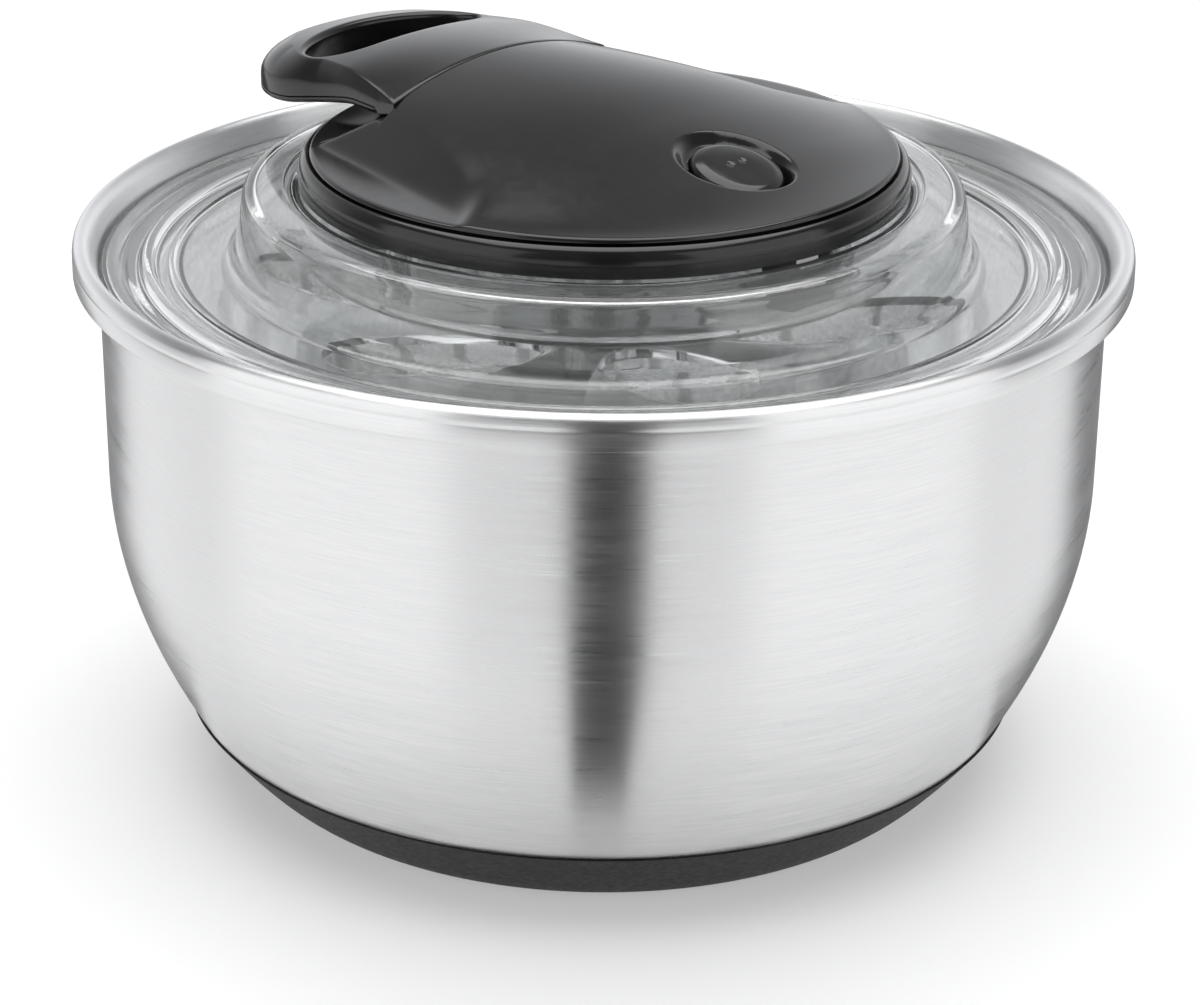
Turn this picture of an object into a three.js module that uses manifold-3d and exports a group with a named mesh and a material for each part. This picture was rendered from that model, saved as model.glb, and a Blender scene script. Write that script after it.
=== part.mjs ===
// A salad spinner: steel bowl, slotted basket, clear lid, and a pull-cord drive under a domed cover.
// Millimetres, +Z up. The origin is the middle of the foot, on the table. The pull handle points to -X
// and the brake button sits towards +X. The outside is symmetric about the XZ plane; the cord's run,
// the ratchet, the recoil spring and the cover screws are not.
import * as THREE from 'three';
import { mergeVertices } from 'three/addons/utils/BufferGeometryUtils.js';
import Module from 'manifold-3d';

const wasm = await Module();
wasm.setup();

// ---- driving dimensions -------------------------------------------------------------------------
const ROUND = 36; // facets round every large turned piece
const SMALL = 16; // facets round a small turned piece
const GAP = 0.3; // clearance between neighbouring pieces

const BOWL_R = 123.8; // outside radius of the bowl's upright wall
const BOWL_BEND_Z = 78; // below this height the wall curves in
const RIM_R = 130; // outside radius of the rolled rim
const RIM_CREST_Z = 138.7;
const STEEL = 0.9; // sheet thickness
const FOOT_TOP_Z = 18.4;
const FLOOR_Z = 3.2; // underside of the bowl's floor

const LID_Z = 130.6; // top face of the lid's low annulus
const LID_WALL = 2;
const PLATEAU_Z = 149.5; // top face of the lid's raised ring
const PLATEAU_R = 87.2;
const WELL_R = 72.4; // inside radius of the well that holds the drive
const WELL_FLOOR_Z = 134;

const RING_R = 75; // outside radius of the black base ring
const RING_TOP_Z = 156.7;
const COVER_R = 72; // outside radius of the dome cover
const COVER_SEAT_Z = 157;
const COVER_WALL = 2.2;
const LEDGE_Z = 157.9; // flat ledge of the cover inside the ring
const SEAM_X = -35; // the upright joint between cover and handle

const BUTTON_X = 43.6;
const BUTTON_Z = 163;
const BUTTON_TILT = THREE.MathUtils.degToRad(17);
const RECESS_R = 15; // finger recess round the button
const RECESS_SHIFT = -1.5; // its middle, towards the handle

const HANDLE_HALF = 37.3; // half the handle's width at the seam
const WAIST_HALF = 33; // half its width beside the finger hole
const HANDLE_END_X = -105;
const ANCHOR_X = -55; // the crimp that holds the cord's end in the handle
const ANCHOR_Z = 162.1;
const ANCHOR_R = 1.9;

const SHAFT_R = 3;
const SPOOL_Z = 155; // height of the wound cord
const DRUM_R = 22; // the spool's core, which the cord is wound on
const FLANGE_R = 27;
const PAWL_R = 14.6; // radius of the circle of pawl pins
const WINDING_R = 25; // outside radius of the wound cord
const CORD_R = 0.8;
const EYELET = new THREE.Vector3(-39.3, 0, 161.5);

const SCREW_R = 60; // radius of the circle of cover screws
const SCREW_ANGLES = [20, 140, 260];
const BRAKE_DISC_R = 27;
const PIN_X = 61.5; // pivot of the brake arm
const PIN_Z = 146;

// ---- materials ----------------------------------------------------------------------------------
const finish = (color, roughness, metalness = 0, more = {}) => () =>
  new THREE.MeshStandardMaterial({ color, roughness, metalness, ...more });
const steel = finish(0xc4c5c6, 0.32, 1);
const rubber = finish(0x161617, 0.75);
const black = finish(0x1b1b1c, 0.3);
const clear = finish(0xe8ecec, 0.08, 0, { transparent: true, opacity: 0.35 });
const frosted = finish(0xdfe3e3, 0.25, 0, { transparent: true, opacity: 0.6 });
const white = finish(0xdcdcd8, 0.45);
const brightSteel = finish(0xb9babb, 0.25, 1);
const cordWhite = finish(0xd8d6cf, 0.85);

// ---- shape helpers ------------------------------------------------------------------------------
const closed = (profile) => [...profile, profile[0]];

function turned(profile, segments = ROUND) {
  const points = profile.map(([r, z]) => new THREE.Vector2(r, z));
  return new THREE.LatheGeometry(points, segments).rotateX(Math.PI / 2);
}

function rod(radius, z0, z1, segments = SMALL) {
  const shape = new THREE.CylinderGeometry(radius, radius, z1 - z0, segments);
  return shape.rotateX(Math.PI / 2).translate(0, 0, (z0 + z1) / 2);
}

function block(x0, x1, y0, y1, z0, z1) {
  const shape = new THREE.BoxGeometry(x1 - x0, y1 - y0, z1 - z0);
  return shape.translate((x0 + x1) / 2, (y0 + y1) / 2, (z0 + z1) / 2);
}

function prism(shape, z0, z1, curveSegments = 10) {
  const options = { depth: z1 - z0, bevelEnabled: false, curveSegments };
  return new THREE.ExtrudeGeometry(shape, options).translate(0, 0, z0);
}

// A side outline in (x, z), drawn out across y from -half to half.
function crosswise(outline, half) {
  const shape = new THREE.Shape(outline.map(([x, z]) => new THREE.Vector2(x, z)));
  const options = { depth: 2 * half, bevelEnabled: false };
  return new THREE.ExtrudeGeometry(shape, options).rotateX(Math.PI / 2).translate(0, half, 0);
}

function solid(geometry) {
  const bare = geometry.clone();
  bare.deleteAttribute('normal');
  bare.deleteAttribute('uv');
  const merged = mergeVertices(bare, 1e-4);
  const corners = merged.index.array;
  const kept = [];
  for (let i = 0; i < corners.length; i += 3) {
    const [a, b, c] = [corners[i], corners[i + 1], corners[i + 2]];
    if (a !== b && b !== c && c !== a) kept.push(a, b, c);
  }
  const vertProperties = new Float32Array(merged.attributes.position.array);
  return new wasm.Manifold(
    new wasm.Mesh({ numProp: 3, vertProperties, triVerts: new Uint32Array(kept) }),
  );
}

function surface(body) {
  const mesh = body.getMesh();
  const geometry = new THREE.BufferGeometry();
  geometry.setAttribute('position', new THREE.BufferAttribute(mesh.vertProperties, 3));
  geometry.setIndex(new THREE.BufferAttribute(mesh.triVerts, 1));
  geometry.computeVertexNormals();
  return geometry;
}

const cut = (geometry, ...tools) =>
  surface(tools.reduce((body, tool) => body.subtract(solid(tool)), solid(geometry)));
const join = (...pieces) =>
  surface(pieces.slice(1).reduce((body, piece) => body.add(solid(piece)), solid(pieces[0])));

const onCircle = (radius, degrees) => {
  const angle = THREE.MathUtils.degToRad(degrees);
  return [radius * Math.cos(angle), radius * Math.sin(angle)];
};

// The same rod at each of the three cover screws.
const screwRods = (radius, z0, z1) =>
  SCREW_ANGLES.map((angle) => rod(radius, z0, z1, 12).translate(...onCircle(SCREW_R, angle), 0));

// A round wire or cord along a list of points.
function strand(radius, points, steps, curveSegments) {
  const section = new THREE.Shape();
  section.absarc(0, 0, radius, 0, 2 * Math.PI);
  const extrudePath = new THREE.CatmullRomCurve3(points);
  return new THREE.ExtrudeGeometry(section, { steps, bevelEnabled: false, extrudePath, curveSegments });
}

const model = new THREE.Group();
function add(name, geometry, material, parent = model) {
  const mesh = new THREE.Mesh(geometry, material());
  mesh.name = name;
  parent.add(mesh);
  return mesh;
}

// ---- the dome's surface -------------------------------------------------------------------------
// Height along the ridge, against distance towards the handle.
const RIDGE = new THREE.SplineCurve(
  [[-76, 157.6], [-60, 159.7], [-43.6, 163], [-20, 168.2], [0, 172], [35, 175], [62, 174.6],
    [86, 172], [106, 169.5]].map(([t, z]) => new THREE.Vector2(t, z)),
);
const RIDGE_POINTS = RIDGE.getPoints(90);
function ridgeHeight(t) {
  const next = RIDGE_POINTS.findIndex((point) => point.x >= t);
  if (next <= 0) return RIDGE_POINTS[Math.max(next, 0)].y;
  const [a, b] = [RIDGE_POINTS[next - 1], RIDGE_POINTS[next]];
  return THREE.MathUtils.mapLinear(t, a.x, b.x, a.y, b.y);
}

const softMin = (a, b, k) => Math.min(a, b) - k * Math.log1p(Math.exp(-Math.abs(a - b) / k));
const softMax = (a, b, k) => -softMin(-a, -b, k);

// The cover falls away from its ridge to a crease, then down a flat facet to the ledge.
function coverHeight(x, y) {
  const t = -x;
  const w = Math.abs(y);
  const creaseHalf = 40 + 0.327 * (38 - t);
  const fall = 7.4 + 0.4 * THREE.MathUtils.clamp((t + 17) / 55, 0, 1);
  const crown = ridgeHeight(t) - fall * (w / creaseHalf) ** 2;
  const fade = 0.04 * Math.max(0, -5 - t) ** 2;
  const facet = 166 - 0.164 * (t - 38) - 0.754 * (w - 40) + fade;
  return softMax(softMin(crown, facet, 0.8), LEDGE_Z, 0.25);
}

// The handle carries the same ridge outwards and grows flatter across.
function handleTop(x, y) {
  const t = -x;
  const flatter = 2.3 * THREE.MathUtils.smoothstep(t, 36, 60) + 1.2 * THREE.MathUtils.smoothstep(t, 70, 90);
  const fall = 6.3 - flatter;
  return ridgeHeight(t) - fall * (y / HANDLE_HALF) ** 2;
}

const DOCK_TOP = [-38, 165];
const DOCK_FOOT = [-50, 157.7];
const HANDLE_FLOOR_Z = 159.3; // underside of the handle's middle, which holds the cord's end

// Underside along the handle's two sides, against distance towards its end.
const SKIRT = [
  [33, 165.6], [38, 165.6], [42, 164.1], [54, 164], [66, 161.5], [80, 158.5], [87, 157.8], [110, 157.2],
];
function skirtHeight(t) {
  const next = SKIRT.findIndex(([at]) => at >= t);
  const [a, b] = [SKIRT[Math.max(next, 1) - 1], SKIRT[Math.max(next, 1)]];
  return THREE.MathUtils.mapLinear(t, a[0], b[0], a[1], b[1]);
}

function handleUnder(x, y) {
  const slope = (DOCK_TOP[1] - DOCK_FOOT[1]) / (DOCK_TOP[0] - DOCK_FOOT[0]);
  const dock = DOCK_TOP[1] + 0.6 + slope * (x - DOCK_TOP[0]);
  const middle = softMax(softMin(dock, DOCK_TOP[1] + 0.6, 0.1), HANDLE_FLOOR_Z, 0.25);
  const share = THREE.MathUtils.smoothstep(Math.abs(y), 12, 19);
  return THREE.MathUtils.lerp(middle, skirtHeight(-x), share);
}

// ---- bowl ---------------------------------------------------------------------------------------
function bowlRadius(z) {
  const depth = Math.max(0, BOWL_BEND_Z - z);
  return BOWL_R - 18 * (depth / 59.6) ** 1.93;
}

const wallHeights = [FOOT_TOP_Z, 28, 38, 50, 63, BOWL_BEND_Z, 126];
function addBowl() {
  const outside = wallHeights.map((z) => [bowlRadius(z), z]);
  const inside = wallHeights.map((z) => [bowlRadius(z) - STEEL, z + 0.2 * STEEL]).reverse();
  const underside = [
    [0, 8.2], [2.6, 7.8], [6.4, 4], [9.5, FLOOR_Z], [82, FLOOR_Z], [88.6, 4.2], [93.3, 6.6], [97.6, 10],
  ];
  const topside = [
    [96.9, 10.6], [92.7, 7.3], [88.3, 5.1], [82, FLOOR_Z + STEEL],
    [10, FLOOR_Z + STEEL], [7, 4.9], [3.2, 8.7], [0, 9.1],
  ];
  const rim = [
    [125.3, 133.2], [127.6, 137.2], [129.1, 135.4], [129.1, 130.3], [RIM_R, 130.3],
    [RIM_R, 136], [129.2, 137.9], [127.3, RIM_CREST_Z], [124.5, 134],
  ];
  add('steel_bowl', turned([...underside, ...outside, ...rim, ...inside, ...topside]), steel);

  const foot = [
    [84, 0], [89, 0], [90.6, 0.5], [93.4, 2.9], [99.9, 10], [106.7, FOOT_TOP_Z],
    [bowlRadius(FOOT_TOP_Z) + GAP, FOOT_TOP_Z], [97.9, 9.9], [93.5, 6.3], [88.7, 3.8], [84, 2.8],
  ];
  add('foot_ring', turned(closed(foot)), rubber);
}

// ---- basket -------------------------------------------------------------------------------------
const BASKET_RIM_Z = 121.6;
const DOGS = 6; // teeth of the drive plate that drop into the basket's rim
function addBasket() {
  const wall = 1.8;
  const outside = [[88, 12], [95.5, 16], [103.5, 34], [109, 60], [111.8, 90], [113, 117.5]];
  const inside = outside.map(([r, z]) => [r - wall, z + 0.6]).reverse();
  const rim = [[115.4, 118.4], [115.4, BASKET_RIM_Z], [111.2, BASKET_RIM_Z]];
  const profile = closed([[7.3, 12], ...outside, ...rim, ...inside.slice(0, -1), [87, 14], [7.3, 14]]);
  const tools = [];
  for (let i = 0; i < 18; i += 1) {
    const slot = block(90, 120, -3, 3, 36, 106);
    tools.push(slot.rotateZ(THREE.MathUtils.degToRad(20 * i + 10)));
  }
  for (let i = 0; i < 6; i += 1) {
    const slot = block(30, 78, -3, 3, 8, 18);
    tools.push(slot.rotateZ(THREE.MathUtils.degToRad(60 * i + 30)));
  }
  for (let i = 0; i < DOGS; i += 1) {
    const notch = block(105, 120, -5, 5, BASKET_RIM_Z - 2.4, BASKET_RIM_Z + 2);
    tools.push(notch.rotateZ(THREE.MathUtils.degToRad((360 / DOGS) * i)));
  }
  add('basket', cut(turned(profile), ...tools), frosted);
  const bush = [[0, 10], [3, 9.5], [7, 9.5], [7, 15.4], [0, 15.4]];
  add('basket_pivot_bush', turned(bush, SMALL), white);
}

// ---- lid ----------------------------------------------------------------------------------------
function addLid() {
  const under = LID_Z - LID_WALL;
  const underside = [
    [7.1, WELL_FLOOR_Z - LID_WALL], [71.6, WELL_FLOOR_Z - LID_WALL],
    [WELL_R + LID_WALL, WELL_FLOOR_Z + 1.4], [76.2, PLATEAU_Z - LID_WALL],
    [85.8, PLATEAU_Z - LID_WALL], [89, 131], [91.6, under], [104, under],
    [105, under + 1], [116.5, under + 1], [121.5, 130.2], [123, 131.2],
  ];
  const topside = [
    [123, 132.6], [118, 131.9], [117, 130.9], [114, 130.9], [113, 131.9], [110, 131.9], [109, 130.9],
    [106, 130.9], [105, LID_Z], [93.2, LID_Z], [91.2, 132], [88.6, 147.8], [PLATEAU_R, PLATEAU_Z],
    [75.4, PLATEAU_Z], [74.4, 148.4], [WELL_R, WELL_FLOOR_Z + 2], [70.6, WELL_FLOOR_Z],
    [7.1, WELL_FLOOR_Z],
  ];
  const shell = join(turned(closed([...underside, ...topside])), ...screwRods(4, 133, 149.4));
  add('lid_shell', cut(shell, ...screwRods(1.8, 120, 160)), clear);

  const bush = [
    [3.3, 130.9], [8.4, 130.9], [8.4, 131.7], [6.8, 131.7], [6.8, 134.6], [3.3, 134.6],
  ];
  add('lid_bush', turned(closed(bush), SMALL), white);
  SCREW_ANGLES.forEach((angle, i) => {
    const screw = [[0, 129.4], [3.2, 129.4], [3.4, 131.6], [1.4, 131.6], [1.4, 153.6], [0, 154.2]];
    const shape = turned(screw, 12).translate(...onCircle(SCREW_R, angle), 0);
    add(`cover_screw_${i + 1}`, shape, brightSteel);
  });
}

// ---- base ring and dome cover -------------------------------------------------------------------
const FAR = 40; // cutting tools reach this far past what they cut
function tilted(geometry) {
  return geometry.rotateY(BUTTON_TILT).translate(BUTTON_X, 0, BUTTON_Z);
}

// A filled dome: a turned blank whose top points are lifted onto the cover's surface.
function filledDome(radius, lower, lowerEdge) {
  const blank = 1000;
  const radii = [0, 13, 26, 38, 48, 57, 66].filter((r) => r < radius - 2);
  const top = [...radii, radius].reverse().map((r) => [r, blank]);
  const geometry = turned([...lowerEdge, ...top], ROUND);
  const point = geometry.attributes.position;
  for (let i = 0; i < point.count; i += 1) {
    if (point.getZ(i) > blank / 2) point.setZ(i, coverHeight(point.getX(i), point.getY(i)) - lower);
  }
  return geometry;
}

// The space the docked handle takes out of the dome; inset by a wall for the inside of the cover.
const dockOutline = (inset) => [
  [SEAM_X + inset, 190], [SEAM_X + inset, DOCK_TOP[1] - inset],
  [DOCK_TOP[0] + 0.5 * inset, DOCK_TOP[1] - inset],
  [DOCK_FOOT[0] + 0.5 * inset, DOCK_FOOT[1] - inset],
  [-90, DOCK_FOOT[1] - inset], [-90, 190],
];

function addCover() {
  const ring = [
    [58, 149.9], [74.2, 149.9], [RING_R, 150.8], [RING_R, 154.4], [74.2, 156.1], [73, RING_TOP_Z],
    [69.6, RING_TOP_Z], [69.6, 151.7], [58, 151.7],
  ];
  add('base_ring', cut(turned(closed(ring)), ...screwRods(4.6, 145, 160)), black);

  // The hollow leaves bosses standing for the button, the shaft's upper end and the screws.
  const hollow = cut(
    filledDome(67, COVER_WALL, [[0, 150], [67, 150]]),
    crosswise(dockOutline(COVER_WALL), 80),
    tilted(rod(18.4, -5.6, FAR).scale(1, 0.95, 1)),
    rod(5.6, 160.4, 190),
    ...screwRods(4, 145, 190),
  );
  const seat = [[0, 152], [69.2, 152], [69.2, COVER_SEAT_Z], [COVER_R, COVER_SEAT_Z]];
  const cover = cut(
    filledDome(COVER_R, 0, seat),
    crosswise(dockOutline(0), 80),
    hollow,
    ...screwRods(1.75, 140, 154.8),
    tilted(rod(RECESS_R, -2.4, FAR, 32).scale(1, 0.96, 1).translate(RECESS_SHIFT, 0, 0)),
    tilted(rod(11.9, -FAR / 4, FAR, 32)),
    rod(SHAFT_R + GAP, 150, 166.6),
    rod(2.3, -6, 6, 16).rotateY(Math.PI / 2).translate(EYELET.x, 0, EYELET.z),
  );
  add('dome_cover', cover, black);

  const eyelet = [[1.5, -1.6], [2, -1.6], [2, 1.2], [1.5, 1.2]];
  const shape = turned(closed(eyelet), 16).rotateY(-Math.PI / 2);
  add('cord_eyelet', shape.translate(EYELET.x, 0, EYELET.z), brightSteel);
}

// ---- drive: plate, shaft, brake disc and ratchet wheel --------------------------------------------
function petal(distance, halfLength, halfWidth, degrees) {
  const shape = new THREE.Shape();
  shape.absellipse(distance, 0, halfLength, halfWidth, 0, 2 * Math.PI);
  return prism(shape, 90, 135, 6).rotateZ(THREE.MathUtils.degToRad(degrees));
}

function addDrive() {
  const plate = [
    [SHAFT_R + GAP, 99], [10, 99], [10, 110.4], [100, 122.4], [112, 122.4], [112, 124.6], [99.6, 124.6],
    [10, 112.8], [9, 128.6], [SHAFT_R + GAP, 128.6],
  ];
  let body = solid(turned(closed(plate)));
  for (let i = 0; i < DOGS; i += 1) {
    body = body.subtract(solid(petal(57, 33, 17, (360 / DOGS) * (i + 0.5))));
    const dog = block(107.5, 111.8, -4, 4, BASKET_RIM_Z - 1.8, 123.4);
    body = body.add(solid(dog.rotateZ(THREE.MathUtils.degToRad((360 / DOGS) * i))));
  }
  add('drive_plate', surface(body), clear);
  add('drive_shaft', rod(SHAFT_R, 98.6, 166), brightSteel);
  add('drive_screw', turned([[0, 95.4], [4.6, 95.8], [5, 98.2], [0, 98.2]], SMALL), brightSteel);

  const bore = SHAFT_R + GAP;
  const disc = [[bore, 135], [BRAKE_DISC_R, 135], [BRAKE_DISC_R, 137.8], [bore, 137.8]];
  add('brake_disc', turned(closed(disc), SMALL), white);
  const teeth = 12;
  const outline = [];
  for (let i = 0; i < teeth; i += 1) {
    const angle = (360 / teeth) * i;
    outline.push(new THREE.Vector2(...onCircle(10, angle)));
    outline.push(new THREE.Vector2(...onCircle(7.6, angle + 1)));
  }
  const wheel = prism(new THREE.Shape(outline), 138.1, 147);
  add('ratchet_wheel', cut(wheel, rod(bore, 130, 150)), white);
}

// ---- spool, pawls, cord and recoil spring ---------------------------------------------------------
const PAWLS = 2;
function addSpool() {
  const bore = SHAFT_R + GAP;
  const profile = closed([
    [bore, 147.4], [18, 147.4], [18, 150.2], [FLANGE_R, 150.2], [FLANGE_R, 152.2], [DRUM_R, 152.2],
    [DRUM_R, 157.8], [FLANGE_R, 157.8], [FLANGE_R, 159.4], [bore, 159.4],
  ]);
  const pinHoles = [];
  for (let i = 0; i < PAWLS; i += 1) {
    pinHoles.push(rod(1.5, 145, 150, 12).translate(...onCircle(PAWL_R, 180 * i + 90), 0));
  }
  add('spool', cut(turned(profile, 24), ...pinHoles), white);
  const inside = DRUM_R + GAP;
  const winding = [[inside, 152.6], [WINDING_R, 152.6], [WINDING_R, 157.4], [inside, 157.4]];
  add('cord_winding', turned(closed(winding), 24), cordWhite);

  for (let i = 0; i < PAWLS; i += 1) {
    const [x, y] = onCircle(PAWL_R, 90);
    const shape = new THREE.Shape([
      [x - 2, y + 1.4], [x - 2, y - 1.8], [x + 3, y - 4.6],
      [x + 7.4, y - 7.6], [x + 8, y - 6.6], [x + 2.4, y + 1.4],
    ].map(([px, py]) => new THREE.Vector2(px, py)));
    const pawl = join(prism(shape, 142.4, 147), rod(1.2, 142.4, 149.6, 12).translate(x, y, 0));
    add(`pawl_${i + 1}`, pawl.rotateZ(Math.PI * i), black);
  }

  const turns = 3.5;
  const steps = 42;
  const edge = (offset) => {
    const points = [];
    for (let i = 0; i <= steps; i += 1) {
      const share = i / steps;
      points.push(new THREE.Vector2(...onCircle(7.4 + 9.6 * share + offset, 360 * turns * share)));
    }
    return points;
  };
  const strip = new THREE.Shape([...edge(0), ...edge(0.5).reverse()]);
  add('recoil_spring', prism(strip, 160, 163.6), brightSteel);
}

// Where the cord leaves the wound turns, straight towards the eyelet.
function cordStart() {
  const radius = WINDING_R + GAP + CORD_R;
  const angle = Math.PI - Math.acos(radius / Math.abs(EYELET.x + 3));
  return new THREE.Vector3(radius * Math.cos(angle), radius * Math.sin(angle), SPOOL_Z);
}

// The cord in two stretches, met just behind the eyelet: one stays inside, one leaves with the handle.
const CORD_MEET_X = -37.4;
function addCord() {
  const inside = [
    cordStart(), new THREE.Vector3(-28, 9, 157.6), new THREE.Vector3(-34.5, 2.4, 160.6),
    new THREE.Vector3(CORD_MEET_X + 3 * GAP, 0.1, EYELET.z),
  ];
  const outside = [
    new THREE.Vector3(CORD_MEET_X, 0, EYELET.z), new THREE.Vector3(ANCHOR_X + 2.9, 0, EYELET.z + 0.1),
  ];
  add('cord_run', strand(CORD_R, inside, 12, 4), cordWhite);
  add('cord_lead', strand(CORD_R, outside, 4, 4), cordWhite);
}

// ---- handle ---------------------------------------------------------------------------------------

function handlePlan() {
  const shape = new THREE.Shape();
  const near = SEAM_X - GAP;
  shape.moveTo(near, -HANDLE_HALF);
  shape.lineTo(near, HANDLE_HALF);
  shape.bezierCurveTo(-52, 35, -58, WAIST_HALF, -72, WAIST_HALF);
  shape.bezierCurveTo(-94.5, WAIST_HALF, HANDLE_END_X, 25, HANDLE_END_X, 0);
  shape.bezierCurveTo(HANDLE_END_X, -25, -94.5, -WAIST_HALF, -72, -WAIST_HALF);
  shape.bezierCurveTo(-58, -WAIST_HALF, -52, -35, near, -HANDLE_HALF);
  const hole = new THREE.Path();
  hole.moveTo(-64.3, -16);
  hole.bezierCurveTo(-65, -24, -69, -28.2, -74, -28);
  hole.bezierCurveTo(-83, -27, -88.6, -12, -88.6, 0);
  hole.bezierCurveTo(-88.6, 12, -83, 27, -74, 28);
  hole.bezierCurveTo(-69, 28.2, -65, 24, -64.3, 16);
  hole.bezierCurveTo(-63.9, 8, -63.9, -8, -64.3, -16);
  shape.holes.push(hole);
  return shape;
}

// A box of columns whose tops and bottoms are moved onto the two given surfaces.
function slab(top, bottom) {
  const [x0, x1, half] = [-108, SEAM_X + 2, 41];
  const blank = new THREE.BoxGeometry(x1 - x0, 2 * half, 2, 16, 8, 1);
  const geometry = blank.translate((x0 + x1) / 2, 0, 0);
  const point = geometry.attributes.position;
  for (let i = 0; i < point.count; i += 1) {
    const [x, y] = [point.getX(i), point.getY(i)];
    point.setZ(i, point.getZ(i) > 0 ? top(x, y) : bottom(x, y));
  }
  return solid(geometry);
}

function addHandle() {
  const plan = solid(prism(handlePlan(), 140, 190, 7));
  const thick = 1.6; // of the under shell, which starts a little way out from the seam
  const startX = -42;
  const outer = (x1) => solid(block(-120, x1, -60, 60, 130, 190));
  const lower = slab((x, y) => handleUnder(x, y) + thick, handleUnder).intersect(outer(startX - GAP));
  const overShell = slab((x, y) => handleUnder(x, y) + thick + GAP, (x, y) => handleUnder(x, y) - 5);
  const room = overShell.intersect(outer(startX));
  const upper = slab(handleTop, handleUnder).subtract(room);
  const pocket = solid(block(ANCHOR_X - 3, ANCHOR_X + 3, -3, 3, ANCHOR_Z - 2.2, ANCHOR_Z + 2.4));
  const cordHole = solid(rod(1.3, -1, 20, 12).rotateY(Math.PI / 2).translate(ANCHOR_X, 0, EYELET.z));
  add('handle_grip', surface(upper.intersect(plan).subtract(pocket).subtract(cordHole)), black);
  add('handle_under', surface(lower.intersect(plan).subtract(pocket).subtract(cordHole)), black);
  const anchor = rod(ANCHOR_R, -2.4, 2.4, 16).rotateY(Math.PI / 2).translate(ANCHOR_X, 0, ANCHOR_Z);
  add('cord_anchor', anchor, brightSteel);
}

// ---- brake: button, arm, pad and spring -----------------------------------------------------------
function addBrake() {
  const button = [
    [0, -14.4], [3, -14.4], [3, -6], [11.5, -6], [11.5, -1.6], [10.4, -0.7], [6, -0.2], [0, 0],
  ];
  add('brake_button', tilted(turned(button, 28)), black);

  const armOutline = [[19, 144], [57, 142.6], [65, 143.6], [65, 148.2], [58, 148.4], [19, 147.6]];
  const pinHole = rod(1.8, -10, 10, 12).rotateX(Math.PI / 2).translate(PIN_X, 0, PIN_Z);
  add('brake_arm', cut(crosswise(armOutline, 4), pinHole), white);
  add('brake_pad', block(19.4, 26, -3.8, 3.8, 141.7, 143.2), rubber);
  add('arm_pin', rod(1.5, -7.6, 7.6, 12).rotateX(Math.PI / 2).translate(PIN_X, 0, PIN_Z), brightSteel);

  const ears = [4.5, -7.5].map((y) => block(57.5, 65.5, y, y + 3, 135, 149.4));
  const bracket = join(block(50, 66, -7.5, 7.5, WELL_FLOOR_Z + GAP, 136.4), ...ears);
  const bracketHole = rod(1.8, -20, 20, 12).rotateX(Math.PI / 2).translate(PIN_X, 0, PIN_Z);
  add('arm_bracket', cut(bracket, bracketHole), black);

  const coils = 3;
  const points = [];
  for (let i = 0; i <= 8 * coils; i += 1) {
    const [x, y] = onCircle(3, 45 * i);
    points.push(new THREE.Vector3(43.5 + x, y, 135 + (7 * i) / (8 * coils)));
  }
  add('brake_spring', strand(0.4, points, 30, 3), brightSteel);
}

addBowl();
addBasket();
addLid();
addCover();
addDrive();
addSpool();
addCord();
addHandle();
addBrake();

export default model;
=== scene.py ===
"""The salad spinner's looks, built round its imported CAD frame. Lengths in the shape code are millimetres."""

import math

import bmesh
import bpy
import numpy as np
from mathutils import Matrix, Vector


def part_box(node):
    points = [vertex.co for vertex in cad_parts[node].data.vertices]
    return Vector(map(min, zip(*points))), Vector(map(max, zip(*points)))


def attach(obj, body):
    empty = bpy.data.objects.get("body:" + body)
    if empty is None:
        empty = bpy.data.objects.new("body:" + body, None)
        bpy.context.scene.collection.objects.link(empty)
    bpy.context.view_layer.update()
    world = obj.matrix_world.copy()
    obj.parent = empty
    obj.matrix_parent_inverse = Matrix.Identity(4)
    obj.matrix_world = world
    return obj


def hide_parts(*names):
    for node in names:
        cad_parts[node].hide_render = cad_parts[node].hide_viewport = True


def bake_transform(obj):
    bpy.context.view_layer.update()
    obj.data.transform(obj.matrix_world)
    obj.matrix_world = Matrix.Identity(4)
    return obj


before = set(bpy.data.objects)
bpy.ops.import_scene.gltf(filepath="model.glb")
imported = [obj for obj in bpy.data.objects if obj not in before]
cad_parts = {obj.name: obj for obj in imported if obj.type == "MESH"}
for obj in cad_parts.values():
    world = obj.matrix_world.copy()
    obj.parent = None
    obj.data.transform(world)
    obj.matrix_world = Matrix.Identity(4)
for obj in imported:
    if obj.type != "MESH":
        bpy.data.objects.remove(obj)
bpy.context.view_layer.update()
MM = 0.001


def top_of(node):
    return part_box(node)[1][2] / MM


def bottom_of(node):
    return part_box(node)[0][2] / MM


def reach_of(node):
    """The largest radius of a turned CAD node, in millimetres."""
    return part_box(node)[1][0] / MM


# ---- camera -----------------------------------------------------------------------------------
CAMERA_AZIMUTH = math.radians(43)
CAMERA_ELEVATION = math.radians(23.12)
CAMERA_ROLL = math.radians(0.56)
CAMERA_DISTANCE = 0.845
CAMERA_LENS = 99.45
CAMERA_SHIFT = (-0.00125, -0.0158)
CAMERA_TARGET = Vector((0, 0, 0.0679))
TOWARDS_CAMERA = Vector((math.sin(CAMERA_AZIMUTH), -math.cos(CAMERA_AZIMUTH), 0))
CAMERA_RIGHT = Vector((math.cos(CAMERA_AZIMUTH), math.sin(CAMERA_AZIMUTH), 0))


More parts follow.
